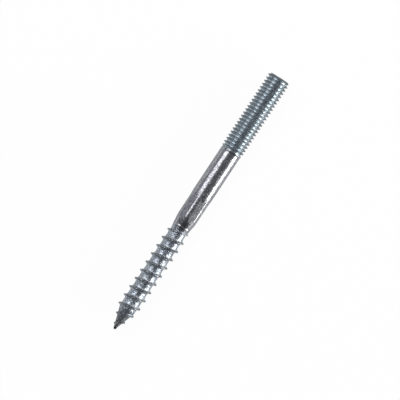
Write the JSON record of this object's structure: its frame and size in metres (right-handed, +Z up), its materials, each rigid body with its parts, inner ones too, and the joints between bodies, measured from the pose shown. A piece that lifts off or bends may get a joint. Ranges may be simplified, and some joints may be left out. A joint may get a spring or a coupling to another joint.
{
  "type": "hanger bolt",
  "caption": "Headless double-ended steel bolt, machine thread at one end and wood thread with a point at the other, flats pressed in between.",
  "frame": {"origin": "on the bolt's axis, where the machine thread reaches its full diameter", "axes": "+X along the axis, out of the machine-thread end; -X out of the wood-thread point; +Z up, with the bolt lying on its side"},
  "size_m": [0.0988, 0.008, 0.008],
  "materials": {
    "zinc_plated_steel": "bright blue-white zinc plating on rolled steel, a little mottled, darker in the threads and at the point"
  },
  "bodies": {
    "root": {"hanger_bolt": "zinc_plated_steel"}
  },
  "joints": []
}
